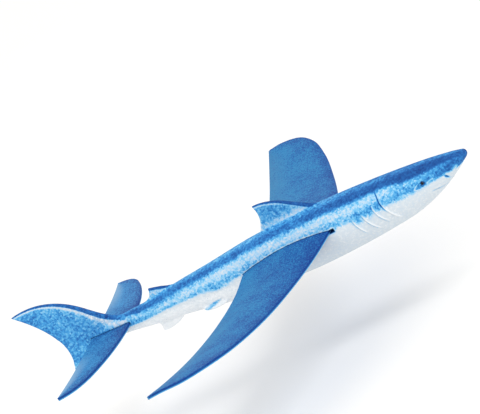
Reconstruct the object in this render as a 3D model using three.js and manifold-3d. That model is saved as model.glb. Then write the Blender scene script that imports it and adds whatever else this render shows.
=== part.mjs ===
// Shark-shaped foam hand glider: a moulded body in two halves with fins, two plug-in wing
// panels, a tailplane pushed through the tail, a nose weight and two pressed-in eyes.
// Millimetres. The shape is drawn from the wing's root leading edge: +X to the snout,
// +Y to the left wing, +Z up. The group then moves it, so that its origin is under the middle.
import * as THREE from "three";
import { mergeVertices } from "three/addons/utils/BufferGeometryUtils.js";
import Module from "manifold-3d";

const wasm = await Module();
wasm.setup();

// Clearance between pieces, and a half size that reaches past everything, for cutting boxes.
const GAP = 0.3;
const REACH = 400;

// Vertices closer than this are one when a mesh becomes a solid.
const MERGE_DISTANCE = 1e-4;

// The body's length, and the plane that its belly and lower tail lobe stand on.
const SNOUT_X = 141.8;
const CAUDAL_TIP_X = -341.6;
const BODY_END_X = -287;
const REST_Z = -30;
const SNOUT_ROUNDING = 4;
const SECTION_POWER = 2.15;
const BODY_STATIONS = 52;
const SECTION_SIDES = 28;

// Hand-drawn lines of the body, each [station x, back z, belly z, half width], tail to snout.
const BODY_LINES = [
  [-287, 7, -2.5, 2.1],
  [-265, 9.5, -5.5, 4.8],
  [-240, 11.3, -8.1, 7.8],
  [-215, 12, -12, 10.2],
  [-180, 15.5, -16.4, 14],
  [-140, 18.4, -23.2, 18.2],
  [-90, 22.8, -27.8, 21.4],
  [-35, 24.2, -31.1, 22.6],
  [0, 24, -30.7, 22.4],
  [45, 21.6, -28.2, 21],
  [75, 19.2, -24.8, 18.6],
  [105, 16.1, -15.8, 14],
  [128, 12.6, -4.8, 9],
  [SNOUT_X, 10.2, 2.4, 4.8],
];

// Upright fins moulded with the body.
const FIN_THICKNESS = 4.6;
const FIN_BEVEL = 1.1;
const ANAL_THICKNESS = 3.4;
const PELVIC_THICKNESS = 2.6;
const PELVIC_SPREAD = THREE.MathUtils.degToRad(45);
const PELVIC_X = -136;
const PELVIC_Y = 12;
const PELVIC_Z = -14;

// Foam sheet of the wings and tailplane, and the slots that hold it.
const SHEET = 3.3;
const SLOT_HEIGHT = SHEET + 2 * GAP;
const WING_ROOT_LE_X = -8.4;
const WING_ROOT_TE_X = -105.6;
const WING_ROOT_LE_Z = 0.8;
const WING_ROOT_TE_Z = -1.4;
const WING_CAMBER = 0.053;
const WING_SLOT_FRONT_X = -2.8;
const WING_SLOT_REAR_X = WING_ROOT_TE_X - GAP;
const TAB_END_Y = 23;
const CHORD_STEPS = 10;
const SPAN_STEPS = 26;

// Edges of the left wing outside the body, each point [x, y, z], root to tip.
const WING_LEADING_EDGE = [
  [WING_ROOT_LE_X, TAB_END_Y, WING_ROOT_LE_Z],
  [-19, 60, -3],
  [-33, 110, -4.5],
  [-48.5, 160, -3.6],
  [-67, 215, 2],
  [-84, 250, 7.9],
  [-103.5, 270, 11.4],
  [-124, 274.5, 12.8],
  [-137.5, 273.7, 12],
];
const WING_TRAILING_EDGE = [
  [WING_ROOT_TE_X, TAB_END_Y, WING_ROOT_TE_Z],
  [-107.2, 62, -5],
  [-114.5, 120, -6],
  [-125.2, 180, -3],
  [-133.5, 230, 3.6],
  [-139.6, 272, 11.2],
];

const TAILPLANE_Z = 1.7;
const TAILPLANE_TIP_Y = 126.2;
const TAILPLANE_FRONT_X = -236;
const TAILPLANE_REAR_X = -285.7;
const TAIL_SLOT_FRONT_X = TAILPLANE_FRONT_X + GAP;
const TAIL_SLOT_REAR_X = TAILPLANE_REAR_X - GAP;

// Nose weight, a round steel slug lying along the body.
const WEIGHT_RADIUS = 4.5;
const WEIGHT_LENGTH = 14;
const WEIGHT_X = 100;
const WEIGHT_Z = 1;

// Locating pegs on the right half's joint face, each [x, z].
const PEGS = [[62, 2], [12, -14], [-128, -4], [-196, 0]];
const PEG_RADIUS = 2.2;
const PEG_LENGTH = 4;

// Eyes: a domed head on a stem.
const EYE_X = 94;
const EYE_Z = 2.4;
const EYE_HEAD_RADIUS = 1.9;
const EYE_STEM_RADIUS = 1.1;
const EYE_STEM_LENGTH = 5;
const EYE_SEAT_DEPTH = 0.9;
const EYE_DOME_FLATNESS = 0.8;
const EYE_DOME_SINK = 0.3;
const EYE_DOME_STEPS = 5;
const ROUND_SIDES = 20;

function toManifold(geometry) {
  const bare = geometry.clone();
  bare.deleteAttribute("normal");
  bare.deleteAttribute("uv");
  const merged = mergeVertices(bare, MERGE_DISTANCE);
  return new wasm.Manifold(new wasm.Mesh({
    numProp: 3,
    vertProperties: new Float32Array(merged.attributes.position.array),
    triVerts: new Uint32Array(merged.index.array),
  }));
}

function toGeometry(solid) {
  const mesh = solid.getMesh();
  const geometry = new THREE.BufferGeometry();
  geometry.setAttribute("position", new THREE.BufferAttribute(mesh.vertProperties, 3));
  geometry.setIndex(new THREE.BufferAttribute(mesh.triVerts, 1));
  geometry.computeVertexNormals();
  return geometry;
}

function foam(name, geometry, colour) {
  const material = new THREE.MeshStandardMaterial({ color: colour, roughness: 0.75, metalness: 0 });
  const mesh = new THREE.Mesh(geometry, material);
  mesh.name = name;
  return mesh;
}

const lineInterpolant = new THREE.CubicInterpolant(
  BODY_LINES.map((line) => line[0]),
  BODY_LINES.flatMap((line) => line.slice(1)),
  3,
  new Float32Array(3),
);

// The body's cross-section at one station: its middle height, half height and half width.
function bodySection(x) {
  const [back, belly, width] = lineInterpolant.evaluate(x);
  const fromSnout = Math.min((SNOUT_X - x) / SNOUT_ROUNDING, 1);
  const rounding = Math.sqrt(1 - (1 - fromSnout) ** 2);
  return {
    middle: (back + belly) / 2,
    halfHeight: ((back - belly) / 2) * rounding,
    halfWidth: width * rounding,
  };
}

// A point on the skin: the turn runs from the left side over the back.
function skinPoint(x, turn) {
  const { middle, halfHeight, halfWidth } = bodySection(x);
  const power = 2 / SECTION_POWER;
  const across = Math.sign(Math.cos(turn)) * Math.abs(Math.cos(turn)) ** power;
  const up = Math.sign(Math.sin(turn)) * Math.abs(Math.sin(turn)) ** power;
  return [x, halfWidth * across, middle + halfHeight * up];
}

// Rings of skin points from the tail to the snout, closed by a point at each end.
function bodyGeometry() {
  const positions = [];
  const index = [];
  for (let i = 0; i < BODY_STATIONS; i += 1) {
    const along = (i + 0.5) / BODY_STATIONS;
    const eased = Math.sin((along * Math.PI) / 2);
    const x = THREE.MathUtils.lerp(BODY_END_X, SNOUT_X, eased);
    for (let j = 0; j < SECTION_SIDES; j += 1) {
      positions.push(...skinPoint(x, (j / SECTION_SIDES) * 2 * Math.PI));
    }
  }
  const tail = positions.length / 3;
  positions.push(BODY_END_X, 0, bodySection(BODY_END_X).middle);
  positions.push(SNOUT_X, 0, bodySection(SNOUT_X).middle);
  const last = (BODY_STATIONS - 1) * SECTION_SIDES;
  for (let j = 0; j < SECTION_SIDES; j += 1) {
    const next = (j + 1) % SECTION_SIDES;
    index.push(tail, next, j);
    index.push(tail + 1, last + j, last + next);
    for (let i = 0; i < last; i += SECTION_SIDES) {
      index.push(i + j, i + next, i + SECTION_SIDES + next);
      index.push(i + j, i + SECTION_SIDES + next, i + SECTION_SIDES + j);
    }
  }
  const geometry = new THREE.BufferGeometry();
  geometry.setAttribute("position", new THREE.Float32BufferAttribute(positions, 3));
  geometry.setIndex(index);
  return geometry;
}

// An upright plate, drawn in the X-Z plane and centred on Y = 0, with softened edges if bevelled.
function uprightPlate(shape, thickness, bevel = 0) {
  const geometry = new THREE.ExtrudeGeometry(shape, {
    depth: thickness - 2 * bevel,
    bevelEnabled: bevel > 0,
    bevelThickness: bevel,
    bevelSize: bevel,
    bevelOffset: -bevel,
    bevelSegments: 1,
    curveSegments: 8,
  });
  geometry.translate(0, 0, bevel - thickness / 2);
  geometry.rotateX(Math.PI / 2);
  return geometry;
}

function firstDorsalShape() {
  const shape = new THREE.Shape();
  shape.moveTo(-4, 14);
  shape.lineTo(-4, 23.6);
  shape.bezierCurveTo(-15, 25.6, -26, 32.8, -38, 40.8);
  shape.bezierCurveTo(-48, 47, -60, 50.5, -70, 50);
  shape.bezierCurveTo(-67, 43, -68, 33, -77, 23.5);
  shape.lineTo(-77, 14);
  return shape;
}

function secondDorsalShape() {
  const shape = new THREE.Shape();
  shape.moveTo(-174, 5);
  shape.lineTo(-176, 14.6);
  shape.quadraticCurveTo(-192, 20, -205, 23);
  shape.quadraticCurveTo(-203.5, 16, -217, 11.2);
  shape.lineTo(-217, 5);
  return shape;
}

function analShape() {
  const shape = new THREE.Shape();
  shape.moveTo(-178, -8);
  shape.lineTo(-181, -14.2);
  shape.bezierCurveTo(-190, -19.5, -200, -22.6, -210, -22.3);
  shape.quadraticCurveTo(-213.8, -22, -213.2, -19);
  shape.quadraticCurveTo(-212.4, -15, -215, -11);
  shape.lineTo(-212, -5);
  return shape;
}

function caudalShape() {
  const shape = new THREE.Shape();
  shape.moveTo(-224, 5);
  shape.quadraticCurveTo(-238, 10, -250, 14.8);
  shape.bezierCurveTo(-263, 22, -270, 34, -284, 43.8);
  shape.bezierCurveTo(-299, 54, -318, 60, CAUDAL_TIP_X, 55.8);
  shape.bezierCurveTo(-326, 41, -311, 22, -309.6, 3);
  shape.bezierCurveTo(-309, -9, -314, -19, -320, REST_Z);
  shape.bezierCurveTo(-302, -25, -280, -14, -254, -6);
  shape.lineTo(-234, -4);
  return shape;
}

function pelvicFin(side) {
  const shape = new THREE.Shape();
  shape.moveTo(7, 4);
  shape.lineTo(5, -3);
  shape.quadraticCurveTo(0, -7, -9, -7.2);
  shape.quadraticCurveTo(-18, -7, -22.5, -4.8);
  shape.quadraticCurveTo(-26.5, -2.5, -25, 0.4);
  shape.lineTo(-22, 4);
  const geometry = uprightPlate(shape, PELVIC_THICKNESS);
  geometry.rotateX(side * PELVIC_SPREAD);
  geometry.translate(PELVIC_X, side * PELVIC_Y, PELVIC_Z);
  return toManifold(geometry);
}

// Height of the wing's middle surface in the body, at a fraction of the root chord.
function rootArc(fraction) {
  const chord = WING_ROOT_LE_X - WING_ROOT_TE_X;
  const straight = THREE.MathUtils.lerp(WING_ROOT_LE_Z, WING_ROOT_TE_Z, fraction);
  return straight + 4 * WING_CAMBER * chord * fraction * (1 - fraction);
}

function wingSlot() {
  const chord = WING_ROOT_LE_X - WING_ROOT_TE_X;
  const first = (WING_ROOT_LE_X - WING_SLOT_FRONT_X) / chord;
  const last = (WING_ROOT_LE_X - WING_SLOT_REAR_X) / chord;
  const fractions = [first];
  for (let i = 0; i < CHORD_STEPS; i += 1) {
    fractions.push(i / CHORD_STEPS);
  }
  fractions.push(last);
  const arc = fractions.map((f) => new THREE.Vector2(WING_ROOT_LE_X - f * chord, rootArc(f)));
  const upper = arc.map((p) => new THREE.Vector2(p.x, p.y + SLOT_HEIGHT / 2));
  const lower = arc.map((p) => new THREE.Vector2(p.x, p.y - SLOT_HEIGHT / 2)).reverse();
  return toManifold(uprightPlate(new THREE.Shape([...upper, ...lower]), REACH));
}

function box(lowX, highX, lowY, highY, lowZ, highZ) {
  const geometry = new THREE.BoxGeometry(highX - lowX, highY - lowY, highZ - lowZ);
  geometry.translate((lowX + highX) / 2, (lowY + highY) / 2, (lowZ + highZ) / 2);
  return toManifold(geometry);
}

function tailSlot() {
  const half = SLOT_HEIGHT / 2;
  return box(TAIL_SLOT_REAR_X, TAIL_SLOT_FRONT_X, -REACH, REACH, TAILPLANE_Z - half, TAILPLANE_Z + half);
}

function weightCylinder(clearance) {
  const length = WEIGHT_LENGTH + 2 * clearance;
  const geometry = new THREE.CylinderGeometry(
    WEIGHT_RADIUS + clearance, WEIGHT_RADIUS + clearance, length, ROUND_SIDES);
  geometry.rotateZ(Math.PI / 2);
  geometry.translate(WEIGHT_X, 0, WEIGHT_Z);
  return geometry;
}

// Pegs across the joint plane; the ones to cut sockets with are larger by the clearance.
function pegs(clearance) {
  const length = PEG_LENGTH + clearance;
  return PEGS.map(([x, z]) => {
    const radius = PEG_RADIUS + clearance;
    const geometry = new THREE.CylinderGeometry(radius, radius, 2 * length, ROUND_SIDES);
    geometry.translate(x, 0, z);
    return toManifold(geometry);
  });
}

// Where the skin is at the eye, as a half width.
function eyeSkinY() {
  const { middle, halfHeight, halfWidth } = bodySection(EYE_X);
  const up = Math.abs((EYE_Z - middle) / halfHeight);
  return halfWidth * (1 - up ** SECTION_POWER) ** (1 / SECTION_POWER);
}

// Eye outline for turning about Y: the stem's end, the stem, the head's rim and its dome.
function eyeGeometry(side, clearance) {
  const headRadius = EYE_HEAD_RADIUS + clearance;
  const stemRadius = EYE_STEM_RADIUS + clearance;
  const seat = -EYE_SEAT_DEPTH - clearance;
  const profile = [
    new THREE.Vector2(0, seat - EYE_STEM_LENGTH),
    new THREE.Vector2(stemRadius, seat - EYE_STEM_LENGTH),
    new THREE.Vector2(stemRadius, seat),
    new THREE.Vector2(headRadius, seat),
  ];
  if (clearance > 0) {
    profile.push(new THREE.Vector2(headRadius, EYE_STEM_LENGTH), new THREE.Vector2(0, EYE_STEM_LENGTH));
  } else {
    for (let i = 0; i <= EYE_DOME_STEPS; i += 1) {
      const turn = (i / EYE_DOME_STEPS) * (Math.PI / 2);
      const out = EYE_DOME_FLATNESS * headRadius * Math.sin(turn) - EYE_DOME_SINK;
      profile.push(new THREE.Vector2(headRadius * Math.cos(turn), out));
    }
    profile[profile.length - 1].x = 0;
  }
  const geometry = new THREE.LatheGeometry(profile, ROUND_SIDES);
  if (side < 0) {
    geometry.rotateX(Math.PI);
  }
  geometry.translate(EYE_X, side * eyeSkinY(), EYE_Z);
  return geometry;
}

// The whole body with its fins, before it is parted.
function wholeBody() {
  let solid = toManifold(bodyGeometry());
  for (const shape of [firstDorsalShape(), secondDorsalShape(), caudalShape()]) {
    solid = solid.add(toManifold(uprightPlate(shape, FIN_THICKNESS, FIN_BEVEL)));
  }
  solid = solid.add(toManifold(uprightPlate(analShape(), ANAL_THICKNESS)));
  solid = solid.add(pelvicFin(1)).add(pelvicFin(-1));
  solid = solid.subtract(box(-REACH, REACH, -REACH, REACH, REST_Z - REACH, REST_Z));
  return solid.subtract(wingSlot()).subtract(tailSlot());
}

function fuselageHalf(name, side) {
  const keep = side > 0
    ? box(-REACH, REACH, GAP / 2, REACH, -REACH, REACH)
    : box(-REACH, REACH, -REACH, -GAP / 2, -REACH, REACH);
  let solid = wholeBody().intersect(keep);
  solid = solid.subtract(toManifold(weightCylinder(GAP)));
  solid = solid.subtract(toManifold(eyeGeometry(side, GAP)));
  const joints = pegs(side > 0 ? GAP : 0);
  for (const peg of joints) {
    solid = side > 0 ? solid.subtract(peg) : solid.add(peg);
  }
  return foam(name, toGeometry(solid), 0x4f96cf);
}

// Wing as rows of middle-surface points: the straight tab first, then the free panel.
function wingRows() {
  const leading = new THREE.CatmullRomCurve3(WING_LEADING_EDGE.map((p) => new THREE.Vector3(...p)));
  const trailing = new THREE.CatmullRomCurve3(WING_TRAILING_EDGE.map((p) => new THREE.Vector3(...p)));
  const row = (front, back) => {
    const points = [];
    for (let j = 0; j <= CHORD_STEPS; j += 1) {
      const fraction = j / CHORD_STEPS;
      const point = front.clone().lerp(back, fraction);
      point.z += 4 * WING_CAMBER * (front.x - back.x) * fraction * (1 - fraction);
      points.push(point);
    }
    return points;
  };
  const rows = [row(
    new THREE.Vector3(WING_ROOT_LE_X, GAP, WING_ROOT_LE_Z),
    new THREE.Vector3(WING_ROOT_TE_X, GAP, WING_ROOT_TE_Z),
  )];
  for (let i = 0; i <= SPAN_STEPS; i += 1) {
    const along = i / SPAN_STEPS;
    rows.push(row(leading.getPointAt(along), trailing.getPointAt(along)));
  }
  return rows;
}

// A closed sheet on a grid of middle-surface points, thickened up and down.
function sheetGeometry(rows, side) {
  const columns = rows[0].length;
  const count = rows.length * columns;
  const positions = [];
  for (const half of [SHEET / 2, -SHEET / 2]) {
    for (const point of rows.flat()) {
      positions.push(point.x, side * point.y, point.z + half);
    }
  }
  const index = [];
  const quad = (a, b, c, d) => {
    if (side > 0) {
      index.push(a, b, c, a, c, d);
    } else {
      index.push(a, c, b, a, d, c);
    }
  };
  for (let i = 0; i < rows.length - 1; i += 1) {
    for (let j = 0; j < columns - 1; j += 1) {
      const a = i * columns + j;
      quad(a, a + columns, a + columns + 1, a + 1);
      quad(a + count, a + 1 + count, a + columns + 1 + count, a + columns + count);
    }
    const front = i * columns;
    const back = front + columns - 1;
    quad(front, front + count, front + columns + count, front + columns);
    quad(back, back + columns, back + columns + count, back + count);
  }
  const tip = (rows.length - 1) * columns;
  for (let j = 0; j < columns - 1; j += 1) {
    quad(j, j + 1, j + 1 + count, j + count);
    quad(tip + j, tip + j + count, tip + j + 1 + count, tip + j + 1);
  }
  const geometry = new THREE.BufferGeometry();
  geometry.setAttribute("position", new THREE.Float32BufferAttribute(positions, 3));
  geometry.setIndex(index);
  geometry.computeVertexNormals();
  return geometry;
}

function wing(name, side) {
  return foam(name, sheetGeometry(wingRows(), side), 0x3d78b2);
}

// Tailplane outline in the X-Y plane, swept back to blunt tips.
function tailplane() {
  const shape = new THREE.Shape();
  shape.moveTo(TAILPLANE_FRONT_X, 0);
  shape.bezierCurveTo(-236.5, 35, -240, 60, -248, 84.5);
  shape.bezierCurveTo(-254.5, 104, -262, 124.5, TAILPLANE_REAR_X, TAILPLANE_TIP_Y);
  shape.bezierCurveTo(-281.5, 100, -278.5, 50, -281.8, 0);
  shape.bezierCurveTo(-278.5, -50, -281.5, -100, TAILPLANE_REAR_X, -TAILPLANE_TIP_Y);
  shape.bezierCurveTo(-262, -124.5, -254.5, -104, -248, -84.5);
  shape.bezierCurveTo(-240, -60, -236.5, -35, TAILPLANE_FRONT_X, 0);
  const geometry = new THREE.ExtrudeGeometry(shape, { depth: SHEET, bevelEnabled: false, curveSegments: 10 });
  geometry.translate(0, 0, TAILPLANE_Z - SHEET / 2);
  return foam("tailplane", geometry, 0x3d73ba);
}

function noseWeight() {
  const material = new THREE.MeshStandardMaterial({ color: 0x8a8d90, roughness: 0.4, metalness: 1 });
  const mesh = new THREE.Mesh(weightCylinder(0), material);
  mesh.name = "nose_weight";
  return mesh;
}

function eye(name, side) {
  const material = new THREE.MeshStandardMaterial({ color: 0x0b0d10, roughness: 0.08, metalness: 0 });
  const mesh = new THREE.Mesh(eyeGeometry(side, 0), material);
  mesh.name = name;
  return mesh;
}

const glider = new THREE.Group();
glider.add(fuselageHalf("fuselage_left_half", 1));
glider.add(fuselageHalf("fuselage_right_half", -1));
glider.add(wing("left_wing", 1));
glider.add(wing("right_wing", -1));
glider.add(tailplane());
glider.add(noseWeight());
glider.add(eye("eye_left", 1));
glider.add(eye("eye_right", -1));
glider.position.set(-(SNOUT_X + CAUDAL_TIP_X) / 2, 0, -REST_Z);

export default glider;
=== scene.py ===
import math

import bmesh
import bpy
import numpy as np
from mathutils import Matrix, Vector
from mathutils.geometry import tessellate_polygon


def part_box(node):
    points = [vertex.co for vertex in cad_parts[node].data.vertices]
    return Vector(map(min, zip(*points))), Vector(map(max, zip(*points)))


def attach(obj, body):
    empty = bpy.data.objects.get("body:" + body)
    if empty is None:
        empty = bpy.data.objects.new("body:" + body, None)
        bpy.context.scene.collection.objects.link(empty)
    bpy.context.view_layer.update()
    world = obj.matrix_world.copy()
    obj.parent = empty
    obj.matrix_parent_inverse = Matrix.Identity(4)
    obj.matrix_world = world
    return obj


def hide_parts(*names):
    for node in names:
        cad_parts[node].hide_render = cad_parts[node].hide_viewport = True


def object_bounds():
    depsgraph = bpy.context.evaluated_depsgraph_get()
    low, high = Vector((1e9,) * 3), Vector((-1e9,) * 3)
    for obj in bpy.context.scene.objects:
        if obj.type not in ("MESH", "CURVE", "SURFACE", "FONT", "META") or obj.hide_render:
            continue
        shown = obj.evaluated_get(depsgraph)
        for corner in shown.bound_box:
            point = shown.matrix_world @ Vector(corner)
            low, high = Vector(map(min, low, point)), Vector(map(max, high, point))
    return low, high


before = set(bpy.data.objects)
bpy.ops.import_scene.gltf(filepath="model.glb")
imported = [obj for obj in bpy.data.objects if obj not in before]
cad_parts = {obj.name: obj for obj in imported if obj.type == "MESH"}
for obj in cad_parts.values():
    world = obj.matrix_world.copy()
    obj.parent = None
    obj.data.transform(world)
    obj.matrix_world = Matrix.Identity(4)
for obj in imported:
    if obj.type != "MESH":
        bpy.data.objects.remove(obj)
CAD_LOW, CAD_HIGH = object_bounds()

# ---------------------------------------------------------------- drawing frame
# Shapes are drawn in millimetres from the wing's root leading edge: +X to the
# snout, +Y to the left wing, +Z up. DATUM is that point in metres.
MM = 0.001
ROOT_LE = (-8.4, 0.8)
ROOT_TE = (-105.6, -1.4)
REST_Z = -30.0
DATUM = np.array([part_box("left_wing")[1][0] - ROOT_LE[0] * MM, 0.0, CAD_LOW[2] - REST_Z * MM])


def to_metres(points):
    return np.asarray(points, float) * MM + DATUM


def to_drawing(points):
    return (np.asarray(points, float) - DATUM) / MM


# ---------------------------------------------------------------- small tools
def smooth(low, high, values):
    """0 at low, 1 at high, eased between them. low may be above high."""
    t = np.clip((values - low) / (high - low), 0, 1)
    return t * t * (3 - 2 * t)


def hump(values, centre, width):
    """1 at the centre, falling off smoothly within about two widths."""
    return np.exp(-((values - centre) / width) ** 2)


def toward(values, target, weight):
    return values + (target - values) * weight


def within(values, span):
    return (values > span[0]) & (values < span[1])


def lengths(line):
    """Length along a line up to each of its points."""
    return np.concatenate([[0], np.cumsum(np.linalg.norm(np.diff(line, axis=0), axis=1))])


def points_at(line, marks):
    """Points of a line at these lengths along it."""
    length = lengths(line)
    return np.stack([np.interp(marks, length, column) for column in line.T], 1)


def ring_faces(rings, sides, start=0):
    """Quads between successive closed rings of points."""
    faces = []
    for a in range(start, start + (rings - 1) * sides, sides):
        b = a + sides
        faces += [(a + j, b + j, b + (j + 1) % sides, a + (j + 1) % sides) for j in range(sides)]
    return faces


def fan_faces(middle, start, sides):
    """Triangles from one point to a closed ring."""
    return [(middle, start + j, start + (j + 1) % sides) for j in range(sides)]


# ---------------------------------------------------------------- body shape
SNOUT_X = 141.8
SNOUT_ROUNDING = 4.0
BODY_END_X = -287.0
POWER = 2.15
HALF_GAP = 0.15

# [station x, back z, belly z, half width], tail to snout.
BODY_LINES = np.array([
    [BODY_END_X, 7, -2.5, 2.1],
    [-265, 9.5, -5.5, 4.8],
    [-240, 11.3, -8.1, 7.8],
    [-215, 12, -12, 10.2],
    [-180, 15.5, -16.4, 14],
    [-140, 18.4, -23.2, 18.2],
    [-90, 22.8, -27.8, 21.4],
    [-35, 24.2, -31.1, 22.6],
    [0, 24, -30.7, 22.4],
    [45, 21.6, -28.2, 21],
    [75, 19.2, -24.8, 18.6],
    [105, 16.1, -15.8, 14],
    [128, 12.6, -4.8, 9],
    [SNOUT_X, 10.2, 2.4, 4.8],
])


def body_rows(xs):
    """Back z, belly z and half width at each x, on a smooth curve through the stations."""
    t, rows = BODY_LINES[:, 0], BODY_LINES[:, 1:]
    xs = np.clip(xs, t[0], t[-1])
    i = np.clip(np.searchsorted(t, xs, side="right") - 1, 0, len(t) - 2)
    last = len(t) - 2
    t0, t1 = t[i], t[i + 1]
    before = np.where(i > 0, i - 1, 1)
    after = np.where(i < last, np.minimum(i + 2, last + 1), last)
    t_before = np.where(i > 0, t[np.maximum(i - 1, 0)], 2 * t0 - t1)
    t_after = np.where(i < last, t[np.minimum(i + 2, last + 1)], 2 * t1 - t0)
    half = (t1 - t0) / 2
    wp, wn = half / (t0 - t_before), half / (t_after - t1)
    p = (xs - t0) / (t1 - t0)
    p2, p3 = p ** 2, p ** 3
    weights = [
        -wp * p3 + 2 * wp * p2 - wp * p,
        (1 + wp) * p3 + (-1.5 - 2 * wp) * p2 + (-0.5 + wp) * p + 1,
        (-1 - wn) * p3 + (1.5 + wn) * p2 + 0.5 * p,
        wn * p3 - wn * p2,
    ]
    return sum(w[:, None] * rows[k] for w, k in zip(weights, (before, i, i + 1, after)))


def section(xs):
    """Middle z, half height and half width at each x, rounded off at the snout."""
    back, belly, width = body_rows(np.asarray(xs, float)).T
    rounding = np.sqrt(1 - (1 - np.clip((SNOUT_X - xs) / SNOUT_ROUNDING, 0, 1)) ** 2)
    return (back + belly) / 2, (back - belly) / 2 * rounding, width * rounding


def skin(xs, heights, side):
    """Points on the body's skin at x and at a relative height from -1, belly, to 1, back."""
    middle, half, width = section(xs)
    across = side * width * (1 - np.abs(heights) ** POWER) ** (1 / POWER)
    return np.stack([xs, across, middle + half * heights], 1)


def body_loft():
    """The bare body as a closed loft: rings from the tail, then a point at the snout."""
    sides, gap, snout_rings = 132, 1.2, 12
    ahead = SNOUT_X - SNOUT_ROUNDING * (1 - np.cos(np.linspace(0, math.pi / 2, snout_rings)))
    xs = np.concatenate([np.arange(BODY_END_X, SNOUT_X - SNOUT_ROUNDING, gap), ahead[:0:-1]])
    middle, half, width = section(xs)
    turn = np.linspace(0, 2 * math.pi, sides, endpoint=False)
    c, s = np.cos(turn), np.sin(turn)
    round_y = np.sign(c) * np.abs(c) ** (2 / POWER)
    round_z = np.sign(s) * np.abs(s) ** (2 / POWER)
    rings = np.stack([
        np.repeat(xs[:, None], sides, 1),
        width[:, None] * round_y,
        np.maximum(middle[:, None] + half[:, None] * round_z, REST_Z),
    ], 2)
    points = np.concatenate([rings.reshape(-1, 3), [[SNOUT_X, 0, middle[-1]]]])
    faces = ring_faces(len(xs), sides) + fan_faces(len(points) - 1, (len(xs) - 1) * sides, sides)
    faces.append(tuple(range(sides)))
    return points, faces


# ---------------------------------------------------------------- fins
def outline(start, *segments, steps=26):
    """Points along a path: a segment holds its control points and then its end."""
    points = [np.array(start, float)]
    for controls in segments:
        knots = [points[-1], *(np.array(c, float) for c in controls)]
        count = 1 if len(knots) == 2 else steps
        for n in range(1, count + 1):
            row, t = knots, n / count
            while len(row) > 1:
                row = [a + (b - a) * t for a, b in zip(row, row[1:])]
            points.append(row[0])
    return np.array(points)


def spaced(points, gap):
    """A closed outline resampled at about equal steps, keeping its sharp corners."""
    loop = np.concatenate([points, points[:1]])
    length = lengths(loop)
    marks = np.arange(0, length[-1], gap)
    steps = np.diff(loop, axis=0)
    steps /= np.linalg.norm(steps, axis=1)[:, None]
    bend = (steps * np.roll(steps, 1, axis=0)).sum(1)
    corners = length[:-1][bend < 0.9]
    if len(corners):
        marks = marks[np.abs(marks[:, None] - corners[None]).min(1) > gap * 0.6]
    return points_at(loop, np.sort(np.concatenate([marks, corners])))


FIRST_DORSAL = outline(
    (-4, 14), [(-4, 23.6)], [(-15, 25.6), (-26, 32.8), (-38, 40.8)], [(-48, 47), (-60, 50.5), (-70, 50)],
    [(-67, 43), (-68, 33), (-77, 23.5)], [(-77, 14)])
SECOND_DORSAL = outline(
    (-174, 5), [(-176, 14.6)], [(-192, 20), (-205, 23)], [(-203.5, 16), (-217, 11.2)], [(-217, 5)])
ANAL = outline(
    (-178, -8), [(-181, -14.2)], [(-190, -19.5), (-200, -22.6), (-210, -22.3)],
    [(-213.8, -22), (-213.2, -19)], [(-212.4, -15), (-215, -11)], [(-212, -5)])
CAUDAL = outline(
    (-224, 5), [(-238, 10), (-250, 14.8)], [(-263, 22), (-270, 34), (-284, 43.8)],
    [(-299, 54), (-318, 60), (-341.6, 55.8)], [(-326, 41), (-311, 22), (-309.6, 3)],
    [(-309, -9), (-314, -19), (-320, -30)], [(-302, -25), (-280, -14), (-254, -6)], [(-234, -4)])
PELVIC = outline(
    (7, 4), [(5, -3)], [(0, -7), (-9, -7.2)], [(-18, -7), (-22.5, -4.8)],
    [(-26.5, -2.5), (-25, 0.4)], [(-22, 4)])
PELVIC_PLACE, PELVIC_SPREAD = (-136, 12, -14), math.radians(45)

# Thickness of each fin, and how far in from its edge the rounding starts.
UPRIGHT_FINS = [(FIRST_DORSAL, 4.6, 2.0), (SECOND_DORSAL, 4.2, 1.8), (ANAL, 3.2, 1.4)]
CAUDAL_FIN = (CAUDAL, 4.6, 2.3)
PELVIC_FIN = (PELVIC, 2.6, 1.2)

# Where along the body the fins stand, and where the tail fin starts above and below.
FIRST_SPAN, SECOND_SPAN, ANAL_SPAN, PELVIC_SPAN = (-80, 6), (-220, -171), (-217, -177), (-168, -124)
CAUDAL_TOP_X, CAUDAL_LOW_X = -222, -226

# The fin edges that the print follows.
FIRST_LEADING, FIRST_TRAILING = FIRST_DORSAL[1:54], FIRST_DORSAL[54:80]
SECOND_LEADING, CAUDAL_LEADING = SECOND_DORSAL[1:28], CAUDAL[:79]


def plate(shape, thickness, rim):
    """A closed plate in the XZ plane with rounded edges that thin out at its sharp tips."""
    loop = spaced(shape, 0.8)
    ahead, behind = np.roll(loop, -1, axis=0), np.roll(loop, 1, axis=0)
    area = (loop[:, 0] * ahead[:, 1] - ahead[:, 0] * loop[:, 1]).sum()
    along = ahead - behind
    inward = np.stack([-along[:, 1], along[:, 0]], 1) * np.sign(area)
    inward /= np.linalg.norm(inward, axis=1)[:, None]
    gap = loop[None] - loop[:, None]
    depth = (gap * inward[:, None]).sum(2)
    radius = np.where(depth > 1e-6, (gap ** 2).sum(2) / (2 * np.maximum(depth, 1e-6)), np.inf).min(1)
    inset = np.minimum(rim, 0.85 * radius)
    rise = thickness / 2 * np.sqrt(inset / rim)
    count, rounds = len(loop), 6
    rings = []
    for k in range(-rounds, rounds + 1):
        turn = math.pi / 2 * k / rounds
        place = loop + inward * (inset * (1 - math.cos(turn)))[:, None]
        rings.append(np.stack([place[:, 0], rise * math.sin(turn), place[:, 1]], 1))
    faces = ring_faces(2 * rounds + 1, count)
    flat = rings[-1][:, [0, 2]]
    cap = tessellate_polygon([[Vector((x, z, 0)) for x, z in flat]])
    top = 2 * rounds * count
    faces += [tuple(top + n for n in face) for face in cap]
    faces += [tuple(n for n in reversed(face)) for face in cap]
    return np.concatenate(rings), faces


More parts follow.
